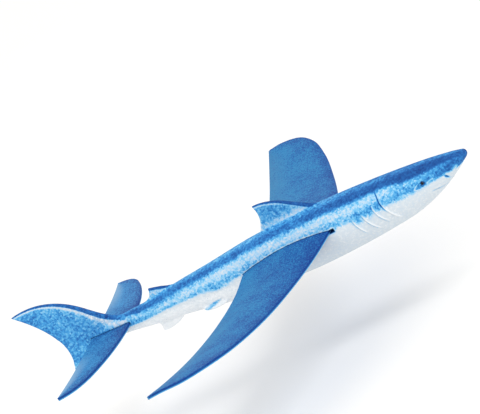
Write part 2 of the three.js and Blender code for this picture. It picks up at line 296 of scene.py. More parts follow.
def pelvic(side):
    """One pelvic fin, low on the flank and splayed."""
    points, faces = plate(*PELVIC_FIN)
    turn = side * PELVIC_SPREAD
    c, s = math.cos(turn), math.sin(turn)
    x, y, z = points.T
    turned = np.stack([x, y * c - z * s, y * s + z * c], 1)
    return turned + np.multiply(PELVIC_PLACE, (1, side, 1)), faces


# ---------------------------------------------------------------- mesh helpers
def linked(name, data):
    """A new object in the scene that holds this mesh, lamp or camera."""
    item = bpy.data.objects.new(name, data)
    bpy.context.scene.collection.objects.link(item)
    return item


def mesh_object(name, points, faces):
    """A new object of these points, in metres, with its faces turned outward."""
    mesh = bpy.data.meshes.new(name)
    mesh.from_pydata([tuple(p) for p in points], [], faces)
    work = bmesh.new()
    work.from_mesh(mesh)
    bmesh.ops.recalc_face_normals(work, faces=work.faces)
    work.to_mesh(mesh)
    work.free()
    return linked(name, mesh)


def applied(item):
    """Replaces an object's mesh with what its modifiers make of it."""
    bpy.context.view_layer.update()
    made = bpy.data.meshes.new_from_object(item.evaluated_get(bpy.context.evaluated_depsgraph_get()))
    item.modifiers.clear()
    item.data = made
    return item


def cut(item, cutter):
    """Takes a closed shape out of an object."""
    tool = item.modifiers.new("cut", "BOOLEAN")
    tool.operation = "DIFFERENCE"
    tool.solver = "EXACT"
    tool.object = cutter
    return applied(item)


def joined(name, items):
    """One object that holds the separate closed shells of several."""
    points, faces, start = [], [], 0
    for item in items:
        points += [tuple(v.co) for v in item.data.vertices]
        faces += [tuple(start + n for n in p.vertices) for p in item.data.polygons]
        start = len(points)
        bpy.data.objects.remove(item)
    mesh = bpy.data.meshes.new(name)
    mesh.from_pydata(points, [], faces)
    return linked(name, mesh)


def read_points(mesh):
    values = np.empty(len(mesh.vertices) * 3, np.float32)
    mesh.vertices.foreach_get("co", values)
    return values.reshape(-1, 3).astype(float)


def read_normals(mesh):
    values = np.empty(len(mesh.vertices) * 3, np.float32)
    mesh.vertex_normals.foreach_get("vector", values)
    return values.reshape(-1, 3).astype(float)


def write_points(mesh, points):
    mesh.vertices.foreach_set("co", points.astype(np.float32).ravel())
    mesh.update()


def read_edges(mesh):
    values = np.empty(len(mesh.edges) * 2, np.int32)
    mesh.edges.foreach_get("vertices", values)
    return values.reshape(-1, 2)


def relax(points, edges, weight, rounds):
    """Moves each point towards the middle of its neighbours, as far as its weight lets it."""
    a, b, n = edges[:, 0], edges[:, 1], len(points)
    count = np.maximum(np.bincount(np.concatenate([a, b]), minlength=n), 1)[:, None]
    for _ in range(rounds):
        total = np.stack([
            np.bincount(a, points[b, k], n) + np.bincount(b, points[a, k], n) for k in range(3)], 1)
        points = points + weight[:, None] * (total / count - points)
    return points


def paint(mesh, **fields):
    """Stores one number per point under each name, for the materials to read."""
    for name, values in fields.items():
        layer = mesh.attributes.new(name, "FLOAT", "POINT")
        layer.data.foreach_set("value", np.asarray(values, np.float32))


def shade(mesh, corner):
    """Smooth shading, but sharp where faces meet at more than this many degrees."""
    mesh.shade_smooth()
    mesh.set_sharp_from_angle(angle=math.radians(corner))


def path_distance(points, path):
    """Distance from each point to a path of close samples, and the nearest sample."""
    block = 4000
    far, near = np.empty(len(points)), np.empty(len(points), int)
    for start in range(0, len(points), block):
        part = points[start:start + block]
        gaps = ((part[:, None] - path[None]) ** 2).sum(2)
        near[start:start + block] = gaps.argmin(1)
        far[start:start + block] = np.sqrt(gaps.min(1))
    return far, near


# ---------------------------------------------------------------- slots
SHEET = 3.3
SLOT = 3.9
CAMBER = 0.053
SLOT_FRONT_X, SLOT_REAR_X = -2.8, -105.9
TAIL_Z = 1.7
TAIL_FRONT_X, TAIL_REAR_X = -236.0, -285.7
TAIL_ROOT_REAR_X = -281.8
SLIT = 1.0
CLEARANCE = 0.3
CUTTER_REACH = 60


def root_arc(xs):
    """Middle height of the wing sheet where it goes through the body."""
    chord = ROOT_LE[0] - ROOT_TE[0]
    f = (ROOT_LE[0] - xs) / chord
    f_in = np.clip(f, 0, 1)
    return ROOT_LE[1] + (ROOT_TE[1] - ROOT_LE[1]) * f + 4 * CAMBER * chord * f_in * (1 - f_in)


def slot_cutter(name, xs, middle, height):
    """A bar right across the body, of these heights, along a line in XZ."""
    upper = np.stack([xs, middle + height / 2], 1)
    lower = np.stack([xs, middle - height / 2], 1)[::-1]
    loop = np.concatenate([upper, lower])
    n = len(loop)
    points = [(x, y, z) for y in (-CUTTER_REACH, CUTTER_REACH) for x, z in loop]
    faces = [tuple(range(n)), tuple(range(2 * n - 1, n - 1, -1))]
    faces += [(i, (i + 1) % n, n + (i + 1) % n, n + i) for i in range(n)]
    return mesh_object(name, to_metres(points), faces)


# ---------------------------------------------------------------- relief of the body
def skin_path(stations, side):
    """Close samples along the skin through [x, relative height] stations, rounded at the
    stations, and the direction across the path at each."""
    steps, window = 14, 9
    stations = np.array(stations, float)
    t = np.linspace(0, len(stations) - 1, (len(stations) - 1) * steps + 1)
    xs, heights = (np.interp(t, range(len(stations)), column) for column in stations.T)
    kernel, edge = np.ones(window) / window, window // 2
    for values in (xs, heights):
        values[edge:-edge] = np.convolve(values, kernel, "valid")
    points = skin(xs, heights, side)
    _, half, width = section(xs)
    normal = np.stack([
        np.zeros_like(xs),
        side * np.abs(points[:, 1] / width) ** (POWER - 1) / width,
        np.sign(heights) * np.abs(heights) ** (POWER - 1) / half,
    ], 1)
    normal /= np.linalg.norm(normal, axis=1)[:, None]
    across = np.cross(np.gradient(points, axis=0), normal) * side
    return points, across / np.linalg.norm(across, axis=1)[:, None]


def beside(points, path, across):
    """Each point's offset across a path, its place along it from 0 to 1, and its distance."""
    far, near = path_distance(points, path)
    offset = ((points - path[near]) * across[near]).sum(1)
    return offset, near / (len(path) - 1), far


# Gill slits on the flank, each [x, relative height] from its upper end.
GILLS = [
    [(48.8, 0.86), (49.4, 0.58), (49, 0.3), (50.5, 0.0), (54, -0.3), (57.5, -0.54), (62.5, -0.78)],
    [(40.2, 0.5), (39.6, 0.21), (41.5, -0.09), (44.5, -0.32), (49.5, -0.6)],
    [(26.2, 0.34), (28.3, -0.02), (32, -0.34), (38, -0.68)],
    [(16, 0.34), (17.5, -0.02), (20, -0.26), (24, -0.55)],
]
MOUTH = [(96.5, -0.46), (103, -0.62), (110, -0.82), (115.5, -0.95), (118, -1.0)]
EYE_X, EYE_Z, EYE_TILT = 94.0, 2.4, math.radians(8)
RECESS_CENTRE, RECESS_SIZE = (-2.4, -1.2), (6.2, 2.4)
NOSTRIL = (116.3, -0.45)
HEAD_X = 5


def eye_frame(x, z):
    """Coordinates round the eye, along and across its recess."""
    c, s = math.cos(EYE_TILT), math.sin(EYE_TILT)
    dx, dz = x - EYE_X, z - EYE_Z
    return dx * c + dz * s, -dx * s + dz * c


def eye_fields(points):
    """How far inside the eye's recess each point is, and how near its lid line."""
    x, y, z = points.T
    a, b = eye_frame(x, z)
    a, b = a - RECESS_CENTRE[0], b - RECESS_CENTRE[1]
    reach = np.abs(a / RECESS_SIZE[0]) ** 1.7 + np.abs(b / RECESS_SIZE[1]) ** 1.7
    on_flank = smooth(6, 9, np.abs(y)) * (x > 70)
    recess = smooth(1.15, 0.45, reach)
    lid = hump(reach, 1.3, 0.24) * smooth(0.0, -4.0, a)
    return recess * on_flank, lid * on_flank


def gill(points, stations, side, first):
    """Relief of a gill slit with a raised lip ahead of it, and how much painted highlight the lip and
    painted shade the slit get.
    """
    offset, along, far = beside(points, *skin_path(stations, side))
    ends = smooth(0, 0.16, along) * smooth(1, 0.8, along) * smooth(4, 2.4, far)
    ridge = hump(offset, 0.75, 0.72) * ends
    groove = hump(offset, -0.65, 0.62) * ends
    lift = 0.9 * ridge * smooth(-0.05, 0.3, along) - 0.7 * groove
    lip_highlight = ridge * smooth(0.25, 0.5, along if first else along + 0.2)
    slit_shade = groove * (smooth(0.62, 0.35, along) if first else 0.12)
    return lift, lip_highlight, slit_shade


def mouth(points, side):
    """Relief of the mouth line with a faint upper lip, no painted highlight, and how much painted shade the
    line gets.
    """
    offset, along, far = beside(points, *skin_path(MOUTH, side))
    ends = smooth(0, 0.2, along) * smooth(4, 2.4, far)
    lift = (0.4 * hump(offset, 1.0, 0.8) - 0.95 * hump(offset, 0, 0.62)) * ends
    return lift, np.zeros(len(points)), 0.35 * hump(offset, 0, 0.5) * ends


def nostril_pit(points):
    """1 in the nostrils, 0 away from them."""
    x, y, z = points.T
    place = skin(np.array([NOSTRIL[0]]), np.array([NOSTRIL[1]]), 1)[0]
    dx, dy, dz = (np.stack([x, np.abs(y), z], 1) - place).T
    reach = ((dx + 0.5 * dz) / 1.1) ** 2 + (dz / 1.9) ** 2 + (dy / 4) ** 2
    return np.exp(-reach * 0.9)


def carve(points, normals):
    """Gills, mouth, nostrils and eye recesses as relief on the skin. Returns the new
    points and the fields that the print, its painted shade and its painted highlights follow."""
    x, y, _ = points.T
    lift, lip_highlight, slit_shade = np.zeros((3, len(points)))
    for side in (1, -1):
        here = np.flatnonzero((x > HEAD_X) & ((y >= 0) == (side > 0)))
        flank = points[here]
        marks = [gill(flank, stations, side, n == 0) for n, stations in enumerate(GILLS)]
        for rise, lip_highlights, slit_shades in [*marks, mouth(flank, side)]:
            lift[here] += rise
            lip_highlight[here] = np.maximum(lip_highlight[here], lip_highlights)
            slit_shade[here] = np.maximum(slit_shade[here], slit_shades)
    pit = nostril_pit(points)
    recess, lid = eye_fields(points)
    lift += 0.38 * lid - 0.8 * recess - 1.0 * pit
    fields = {"lip_highlight": lip_highlight, "slit_shade": slit_shade, "pit": pit, "recess": recess, "lid": lid}
    return points + normals * lift[:, None], fields


# ---------------------------------------------------------------- print of the body, with painted shade and highlights
# [x, back tone, back's lower edge, pale band's height, its tone, belly's upper edge].
BANDS = np.array([
    [-265, 0.24, 0.80, 0.50, 0.86, -0.40],
    [-240, 0.22, 0.84, 0.50, 0.84, -0.30],
    [-226, 0.22, 0.70, 0.40, 0.66, -0.22],
    [-200, 0.27, 0.66, 0.30, 0.70, -0.02],
    [-155, 0.27, 0.76, 0.47, 0.80, 0.06],
    [-120, 0.27, 0.78, 0.56, 0.83, 0.06],
    [-90, 0.28, 0.80, 0.58, 0.83, 0.08],
    [-30, 0.26, 0.78, 0.56, 0.81, 0.10],
    [14, 0.17, 0.76, 0.54, 0.80, 0.14],
    [62, 0.13, 0.77, 0.57, 0.70, 0.04],
    [86, 0.11, 0.62, 0.47, 0.58, -0.02],
    [104, 0.11, 0.64, 0.40, 0.44, -0.10],
    [118, 0.12, 0.62, 0.40, 0.34, -0.26],
    [132, 0.13, 0.55, 0.30, 0.24, -0.80],
    [SNOUT_X, 0.14, 0.50, 0.30, 0.18, -1.50],
])

# Blue pools behind the gills, each [x, relative height, size].
POOLS = [(44.5, 0.22, 3.6), (34, 0.17, 4.2), (22, 0.13, 4.6)]

# Ranges of the tone: how strongly the speckle changes it.
GRAIN_TONES = [0, 0.15, 0.35, 0.6, 0.85, 0.93, 1.0]
GRAIN = [0.1, 0.16, 0.26, 0.34, 0.22, 0.04, 0.02]


def edge_distance(points, line):
    """How far each point is, seen from the side, from a fin's edge."""
    samples = points_at(line, np.arange(0, lengths(line)[-1], 0.5))
    return path_distance(points[:, [0, 2]], samples)[0]


def flank_tone(x, height):
    """Dark back, pale band, blue flank and white belly, by relative height, with a painted highlight along
    the top of the back.
    """
    back_tone, back, pale_at, pale, belly = (
        np.interp(x, BANDS[:, 0], BANDS[:, k]) for k in range(1, 6))
    base = np.interp(x, [-226, -120, 0, 60, 100, 130], [0.5, 0.56, 0.52, 0.48, 0.38, 0.22])
    tone = toward(base, pale, hump(height, pale_at, 0.17))
    tone = toward(tone, back_tone, smooth(back - 0.1, back + 0.06, height))
    # Painted highlight: the top of the back made paler.
    tone += 0.2 * smooth(0.9, 1.0, height) * (height < 1.6)
    soft = 0.1 * smooth(30, 60, x)
    tone = toward(tone, 0.935, smooth(belly + 0.13 + soft, belly - 0.04 - 0.6 * soft, height))
    tone += 0.04 * smooth(belly, belly - 0.3, height) * smooth(-60, -140, x)
    for pool_x, pool_height, size in POOLS:
        tone = toward(tone, 0.36, 0.75 * hump(x, pool_x, size) * hump(height, pool_height, 0.17))
    # A blue smudge low on the flank behind the wing.
    return toward(tone, 0.42, 0.8 * hump(x, -134, 9) * hump(height, 0.06, 0.09))


def first_dorsal_tone(points, above):
    """Speckled blue, paler at the foot and at the rear, with a dark leading edge."""
    x = points[:, 0]
    edge = edge_distance(points, FIRST_LEADING)
    trailing = edge_distance(points, FIRST_TRAILING)
    rim = np.interp(x, [-71, -45, -25, -8], [1.1, 1.8, 3.0, 5.0])
    tone = 0.48 + 0.3 * smooth(9, 2.2, above) * smooth(-16, -34, x) + 0.12 * smooth(-44, -22, x)
    tone = toward(tone, 0.88, 0.7 * smooth(rim + 2.0, rim + 1.0, edge) * smooth(-24, -46, x))
    tone = toward(tone, 0.14, smooth(rim + 0.4, rim - 0.4, edge))
    return toward(tone, 0.86, 0.55 * smooth(3.2, 1.2, trailing) * smooth(22, 12, above))


def tail_tone(points):
    """A dark upper edge with a white line under it, then speckled blue."""
    x, _, z = points.T
    edge = edge_distance(points, CAUDAL_LEADING)
    rim = np.interp(x, [-341, -300, -262, -240], [1.0, 1.7, 4.2, 3.6])
    wide = np.interp(x, [-341, -310, -275, -250, -238], [0.7, 1.4, 3.8, 8.0, 6])
    tone = np.interp(x, [-341, -300], [0.36, 0.44]) + 0.12 * smooth(10, 0, np.abs(edge - rim - wide))
    line = smooth(rim - 0.4, rim + 0.5, edge) * smooth(rim + wide + 1.2, rim + wide * 0.5, edge)
    tone = toward(tone, 0.92, line)
    tone = toward(tone, 0.2, smooth(rim + 0.5, rim - 0.3, edge))
    return toward(tone, 0.62, 0.5 * smooth(-8, -15, z))


def fin_tones(tone, points, above):
    """The flank's tone with the fins' own tones over it."""
    x, y, z = points.T
    on_first = smooth(0.4, 2.0, above) * within(x, FIRST_SPAN) * (np.abs(y) < 7)
    tone = toward(tone, first_dorsal_tone(points, above), on_first)
    on_second = smooth(0.6, 1.6, above) * within(x, SECOND_SPAN) * (np.abs(y) < 5)
    edge = edge_distance(points, SECOND_LEADING)
    tone = toward(tone, toward(0.76, 0.13, smooth(2.5, 1.6, edge)), on_second)
    lower = smooth(1.5, -1.5, z) * smooth(-292, -262, x)
    tone = toward(tone, tail_tone(points), smooth(-228, -262, x) * (1 - 0.9 * lower))
    tone = toward(tone, 1.0, smooth(-14, -17, z) * within(x, ANAL_SPAN) * (np.abs(y) < 4))
    # A speckled blue streak along the outer edge of each pelvic fin.
    reach = ((x + 151) / 10) ** 2 + ((z + 16.6 - 0.2 * (x + 158)) / 1.7) ** 2
    return toward(tone, 0.5, 0.8 * np.exp(-reach ** 2) * (np.abs(y) > 8))


def relief_tones(tone, points, height, fields):
    """Painted shade in slits and pits, painted highlight on the gill lips, the eye's blue recess and its
    pale lid.
    """
    x, y, z = points.T
    # Painted shade in the gill slits and along the mouth line.
    tone = toward(tone, 0.08, fields["slit_shade"])
    # Painted highlight on the raised gill lips.
    tone = toward(tone, 1.0, fields["lip_highlight"])
    tone = toward(tone, 0.36, fields["recess"])
    tone = toward(tone, 0.97, 0.85 * fields["lid"])
    # Painted shade in the nostril pits.
    tone = toward(tone, 0.12, np.clip(fields["pit"] * 1.3, 0, 1))
    # A pale streak ahead of the eye, and a pale patch on the side of the snout.
    a, b = eye_frame(x, z)
    tone = toward(tone, 0.93, 0.75 * hump(a, 7.2, 4.2) * hump(b, -2.2, 0.9) * (np.abs(y) > 6))
    tone = toward(tone, 0.9, 0.7 * hump(x, 126.5, 3.6) * hump(height, -0.42, 0.2))
    # Painted highlight on the foam round the wing's slot, and painted shade inside it.
    gap = slot_distances(points)[0]
    tone = toward(tone, 0.86, 0.8 * smooth(1.7, 0.9, gap) * (np.abs(y) > 12))
    return toward(tone, 0.24, smooth(0.25, 0.05, gap))


def print_and_painted_light_tone(points, fields):
    """Tone of the print with its painted shade and highlights, from 0, dark blue, to 1, white, and how much
    speckle it has.
    """
    x, _, z = points.T
    middle, half, _ = section(x)
    height = (z - middle) / np.maximum(half, 0.5)
    tone = fin_tones(flank_tone(x, height), points, z - body_rows(x)[:, 0])
    tone = np.clip(relief_tones(tone, points, height, fields), 0, 1)
    quiet = np.maximum.reduce([fields["lip_highlight"], fields["lid"], fields["pit"], 0.6 * fields["slit_shade"]])
    grain = np.interp(tone, GRAIN_TONES, GRAIN)
    tail_root = smooth(-300, -270, x) * smooth(-225, -240, x) * smooth(3, 5, z)
    grain = np.maximum(grain, 0.26 * tail_root)
    return tone, grain * (1 - np.clip(quiet, 0, 1))


# ---------------------------------------------------------------- body pieces
def fin_root_weight(points):
    """1 where a fin meets the body, 0 away from there."""
    x, y, z = points.T
    middle, half, width = section(x)
    width, half = np.maximum(width, 1), np.maximum(half, 1)
    reach = np.abs(y / width) ** POWER + np.abs((z - middle) / half) ** POWER
    near = np.abs(reach ** (1 / POWER) - 1) * np.minimum(width, half)
    close = smooth(4.5, 2.5, near) * smooth(8, 6, np.abs(y))
    upper = within(x, FIRST_SPAN) | within(x, SECOND_SPAN) | (x < CAUDAL_TOP_X)
    lower = within(x, ANAL_SPAN) | (x < CAUDAL_LOW_X)
    roots = np.where(z > middle, upper, lower) * close
    lobes = smooth(3.0, 1.6, near) * (within(x, PELVIC_SPAN) & (z < -9) & (np.abs(y) > 6))
    return np.maximum(roots, 0.35 * lobes)


def slot_distances(points):
    """Roughly how far each point is from the wing's slot and from the tailplane's."""
    x, _, z = points.T
    wing = np.hypot(np.maximum(np.maximum(SLOT_REAR_X - x, x - SLOT_FRONT_X), 0),
                    np.maximum(np.abs(z - root_arc(x)) - SLOT / 2, 0))
    tail = np.hypot(np.maximum(np.maximum(TAIL_REAR_X - x, x - TAIL_FRONT_X), 0),
                    np.maximum(np.abs(z - TAIL_Z) - SLOT / 2, 0))
    return wing, tail


def whole_body(voxel):
    """Body and fins as one fine mesh, with the slots through it."""
    xs = np.array([SLOT_FRONT_X, *np.linspace(ROOT_LE[0], ROOT_TE[0], 40), SLOT_REAR_X])
    wing_slot = slot_cutter("wing_slot", xs, root_arc(xs), np.full(len(xs), SLOT))
    # Behind the tailplane's root, the slot narrows to a slit that its swept tips push open.
    step_x = TAIL_ROOT_REAR_X - CLEARANCE
    xs = np.array([TAIL_FRONT_X + CLEARANCE, step_x, step_x - 0.2, TAIL_REAR_X - CLEARANCE])
    tail_slot = slot_cutter("tail_slot", xs, np.full(4, TAIL_Z), np.array([SLOT, SLOT, SLIT, SLIT]))
    points, faces = body_loft()
    bare = cut(cut(mesh_object("bare", to_metres(points), faces), wing_slot), tail_slot)
    points, faces = plate(*CAUDAL_FIN)
    caudal = cut(mesh_object("caudal", to_metres(points), faces), tail_slot)
    shells = [bare, caudal]
    for fin in UPRIGHT_FINS:
        points, faces = plate(*fin)
        shells.append(mesh_object("fin", to_metres(points), faces))
    for side in (1, -1):
        points, faces = pelvic(side)
        shells.append(mesh_object("fin", to_metres(points), faces))
    for cutter in (wing_slot, tail_slot):
        bpy.data.objects.remove(cutter)
    body = joined("body", shells)
    fine = body.modifiers.new("fine", "REMESH")
    fine.mode = "VOXEL"
    fine.voxel_size = voxel * MM
    fine.adaptivity = 0
    return applied(body)


def half_of(body, name, side):
    """One moulded half: the body cut off at the joint plane and closed there."""
    work = bmesh.new()
    work.from_mesh(body.data)
    made = bmesh.ops.bisect_plane(
        work, geom=[*work.verts, *work.edges, *work.faces], dist=1e-7,
        plane_co=(0, side * HALF_GAP * MM, 0), plane_no=(0, side, 0), clear_inner=True)
    rim = [e for e in made["geom_cut"] if isinstance(e, bmesh.types.BMEdge)]
    bmesh.ops.triangle_fill(work, edges=rim, use_beauty=False, use_dissolve=False, normal=(0, -side, 0))
    mesh = bpy.data.meshes.new(name)
    work.to_mesh(mesh)
    work.free()
    shade(mesh, 50)
    return linked(name, mesh)


FINE_VOXEL = 0.55
VOXEL = FINE_VOXEL
body = whole_body(VOXEL)
edges = read_edges(body.data)
points = to_drawing(read_points(body.data))
clear = smooth(1.2, 3.0, np.minimum(*slot_distances(points)))
points = relax(points, edges, 0.5 * clear, 4)
root = fin_root_weight(points) * clear
fillet_rounds = round(34 * (FINE_VOXEL / VOXEL) ** 2)
points = relax(points, edges, 0.6 * root, fillet_rounds)
write_points(body.data, to_metres(points))
normals = read_normals(body.data)
points, fields = carve(points, normals)
points -= normals * (0.14 * hump(points[:, 1], 0, 0.55))[:, None]     # the glued seam
points[:, 2] = np.maximum(points[:, 2], REST_Z)
tone, grain = print_and_painted_light_tone(points, fields)
write_points(body.data, to_metres(points))
paint(body.data, tone=tone, grain=grain)

body_left = half_of(body, "body_left", 1)
body_right = half_of(body, "body_right", -1)
bpy.data.objects.remove(body)


# ---------------------------------------------------------------- sheets
def along_line(line, fractions):
    """Points at these fractions of a line's length."""
    return points_at(line, fractions * lengths(line)[-1])


def catmull(knots, samples):
    """Points at equal arc steps on a centripetal curve through the knots."""
    knots = np.array(knots, float)
    ends = np.concatenate([[2 * knots[0] - knots[1]], knots, [2 * knots[-1] - knots[-2]]])
    dense = []
    for i in range(len(knots) - 1):
        a, b, c, d = ends[i:i + 4]
        d0, d1, d2 = (np.sqrt(np.linalg.norm(q - p)) for p, q in ((a, b), (b, c), (c, d)))
        m0 = ((b - a) / d0 - (c - a) / (d0 + d1) + (c - b) / d1) * d1
        m1 = ((c - b) / d1 - (d - b) / (d1 + d2) + (d - c) / d2) * d1
        t = np.linspace(0, 1, 200, endpoint=i == len(knots) - 2)[:, None]
        dense.append((2 * t ** 3 - 3 * t ** 2 + 1) * b + (t ** 3 - 2 * t ** 2 + t) * m0
                     + (-2 * t ** 3 + 3 * t ** 2) * c + (t ** 3 - t ** 2) * m1)
    return along_line(np.concatenate(dense), np.linspace(0, 1, samples))


TAB_START_Y, TAB_END_Y = 0.3, 23.0
WING_TIP_Y = 274.5
LEADING = [
    (ROOT_LE[0], TAB_END_Y, ROOT_LE[1]), (-19, 60, -3), (-33, 110, -4.5), (-48.5, 160, -3.6),
    (-67, 215, 2), (-84, 250, 7.9), (-103.5, 270, 11.4), (-124, WING_TIP_Y, 12.8), (-137.5, 273.7, 12)]
TRAILING = [
    (ROOT_TE[0], TAB_END_Y, ROOT_TE[1]), (-107.2, 62, -5), (-114.5, 120, -6), (-125.2, 180, -3),
    (-133.5, 230, 3.6), (-139.6, 272, 11.2)]
EDGE_ROUND = 0.45
COLUMNS = 56


def edge_turn():
    """Steps round a cut edge from the top face to the lower one: how far out, how high, how
    deep the painted shade is, and how strong the painted highlight. The lower corner carries a painted
    highlight line."""
    half, bevel = SHEET / 2, EDGE_ROUND
    return [
        (0.3, 0.97 * half, 0.2, 0.0), (0.75, half - 0.6 * bevel, 0.6, 0.0), (1.0, half - bevel, 1.0, 0.0),
        (1.0, 0.0, 1.0, 0.0), (1.0, -0.25 * half, 1.0, 0.0), (1.0, -0.45 * half, 0.0, 1.0),
        (1.0, bevel - half, 0.0, 1.0), (0.75, 0.6 * bevel - half, 0.0, 1.0), (0.3, -0.97 * half, 0.0, 0.4),
    ]


def sheet_loops(front, back, camber):
    """Closed loops round a sheet, one per row, with softened corners. For each point also
    its fraction of the chord, how much painted shade it gets on the cut edge, and how much of the edge's
    painted highlight line."""
    half = SHEET / 2
    even = np.linspace(0, 1, COLUMNS)
    f = 0.6 * even + 0.4 * (1 - np.cos(even * math.pi)) / 2
    chord = np.linalg.norm(front - back, axis=1)
    inner = np.minimum(EDGE_ROUND, chord * 0.3) / chord
    f_rows = inner[:, None] + (1 - 2 * inner[:, None]) * f[None]

    def at(fractions, lift):
        place = front[:, None] + (back - front)[:, None] * fractions[:, :, None]
        depth = (front - back)[:, 0][:, None]
        place[:, :, 2] += 4 * camber * depth * fractions * (1 - fractions) + lift
        return place

    def edge(fractions, lift, deep, line):
        return at(fractions, lift), fractions, np.full_like(fractions, deep), np.full_like(fractions, line)

    outward = 1 - np.array([ease for ease, *_ in edge_turn()])
    parts = [edge(f_rows, half, 0, 0)]
    parts += [edge(1 - inner[:, None] * out, *rest) for out, (_, *rest) in zip(outward, edge_turn())]
    parts.append(edge(f_rows[:, ::-1], -half, 0, 0))
    parts += [edge(inner[:, None] * out, *rest) for out, (_, *rest) in zip(outward[::-1], edge_turn()[::-1])]
    return [np.concatenate(rows, 1) for rows in zip(*parts)]


def sheet_piece(name, loops, side, **fields):
    """A closed sheet of loops, its two ends filled across, with its fields stored."""
    n, m = loops.shape[:2]
    points = loops.reshape(-1, 3) * np.array([1, side, 1])
    faces = ring_faces(n, m)
    rear = len(edge_turn())
    below, last = COLUMNS + rear, 2 * COLUMNS + rear - 1
    for start in (0, (n - 1) * m):
        for j in range(COLUMNS - 1):
            upper, lower = start + j, start + last - j
            faces.append((upper, upper + 1, lower - 1, lower))
        faces.append(tuple(range(start + COLUMNS - 1, start + below + 1)))
        faces.append((*range(start + last, start + m), start))
    item = mesh_object(name, to_metres(points), faces)
    paint(item.data, **{key: value.reshape(-1) for key, value in fields.items()})
    shade(item.data, 48)
    return item


def wing_piece(name, side):
    """A wing panel: the straight tab that goes into the body, then the free sheet."""
    ys = [TAB_START_Y, TAB_START_Y + 0.3, *np.linspace(1.5, TAB_END_Y - 1.5, 9)]
    edges = []
    for (x, z), knots in ((ROOT_LE, LEADING), (ROOT_TE, TRAILING)):
        edges.append(np.concatenate([[(x, y, z) for y in ys], catmull(knots, 150)]))
    loops, chords, deep, line = sheet_loops(*edges, CAMBER)
    span = np.repeat(loops.mean(1)[:, 1:2] / WING_TIP_Y, loops.shape[1], 1)
    return sheet_piece(name, loops, side, span=span, chord=chords, rim=deep, line=line)


left_wing = wing_piece("left_wing_panel_foam", 1)
right_wing = wing_piece("right_wing_panel_foam", -1)

TAIL_TIP = (TAIL_REAR_X, 126.2)
TAIL_FRONT = outline((TAIL_FRONT_X, 0), [(-236.5, 35), (-240, 60), (-248, 84.5)],
                     [(-254.5, 104), (-262, 124.5), TAIL_TIP], steps=80)
TAIL_BACK = outline((TAIL_ROOT_REAR_X, 0), [(-278.5, 50), (-281.5, 100), TAIL_TIP], steps=160)


def tailplane_piece(name):
    """The tailplane: rows from its front edge to its back edge, from one tip to the other."""
    fractions = 0.998 * (1 - (1 - np.linspace(0, 1, 90)) ** 1.5)
    sheet = []
    for line in (TAIL_FRONT, TAIL_BACK):
        edge = np.column_stack([along_line(line, fractions), np.full(len(fractions), TAIL_Z)])
        sheet.append(np.concatenate([edge[:0:-1] * (1, -1, 1), edge]))
    loops, chords, deep, line = sheet_loops(*sheet, 0.0)
    span = np.repeat(np.abs(loops.mean(1)[:, 1:2]) / TAIL_TIP[1], loops.shape[1], 1)
    return sheet_piece(name, loops, 1, span=span, chord=chords, rim=deep, line=line)


tailplane = tailplane_piece("tailplane_foam")


# ---------------------------------------------------------------- eyes
def eye_piece(name, side):
    """A domed glossy eye on its stem, turned about Y."""
    middle, half, _ = (value[0] for value in section(np.array([EYE_X])))
    skin_y = skin(np.array([EYE_X]), np.array([(EYE_Z - middle) / half]), 1)[0, 1]
    sides, dome_steps = 48, 14
    profile = [(0.9, -5.9), (1.1, -5.7), (1.1, -0.95), (1.25, -0.9), (1.75, -0.9)]
    profile += [(1.9, -0.75), (1.9, -0.35)]
    profile += [(1.9 * math.cos(t), 1.45 * math.sin(t) - 0.3)
                for t in np.linspace(0.08, math.pi / 2 - 0.06, dome_steps)]
    turned = [(r * math.cos(t), y, r * math.sin(t)) for r, y in profile
              for t in np.linspace(0, 2 * math.pi, sides, endpoint=False)]
    turned = np.array([(0, -5.9, 0), *turned, (0, 1.15, 0)])
    rings = len(profile)
    faces = fan_faces(0, 1, sides) + ring_faces(rings, sides, 1)
    faces += fan_faces(len(turned) - 1, 1 + (rings - 1) * sides, sides)
    points = (turned + (0, skin_y, 0)) * (1, side, 1) + (EYE_X, 0, EYE_Z)
    item = mesh_object(name, to_metres(points), faces)
    paint(item.data, pupil=smooth(1.6, 1.25, np.hypot(turned[:, 0], turned[:, 2])))
    shade(item.data, 50)
    return item


eye_left = eye_piece("eye_dome_left", 1)
eye_right = eye_piece("eye_dome_right", -1)


# ---------------------------------------------------------------- materials
def srgb(r, g, b):
    """An 8-bit screen colour as linear RGBA."""
    def linear(c):
        c /= 255
        return c / 12.92 if c <= 0.04045 else ((c + 0.055) / 1.055) ** 2.4
    return (linear(r), linear(g), linear(b), 1.0)


def add(tree, kind, sockets=None, **settings):
    """A shader node with its settings, its sockets filled with values or links."""
    node = tree.nodes.new("ShaderNode" + kind)
    for key, value in settings.items():
        setattr(node, key, value)
    for key, value in (sockets or {}).items():
        if isinstance(value, bpy.types.NodeSocket):
            tree.links.new(value, node.inputs[key])
        else:
            node.inputs[key].default_value = value
    return node


def math_node(tree, operation, *values, clamp=False):
    return add(tree, "Math", dict(enumerate(values)), operation=operation, use_clamp=clamp).outputs[0]


def ramp(tree, factor, stops):
    """A colour ramp of (place, colour) stops."""
    node = add(tree, "ValToRGB", {"Fac": factor})
    places = node.color_ramp.elements
    while len(places) < len(stops):
        places.new(0.5)
    for element, (place, colour) in zip(places, stops):
        element.position = place
        element.color = colour
    return node.outputs["Color"]


def mixed(tree, factor, a, b):
    """Colour a where the factor is 0, b where it is 1."""
    return add(tree, "Mix", {0: factor, 6: a, 7: b}, data_type="RGBA").outputs[2]


def ranged(tree, value, low, high, at_low, at_high):
    """A value that goes from one level to another between two limits, and stays there."""
    return add(tree, "MapRange", {
        "Value": value, "From Min": low, "From Max": high, "To Min": at_low, "To Max": at_high}).outputs[0]


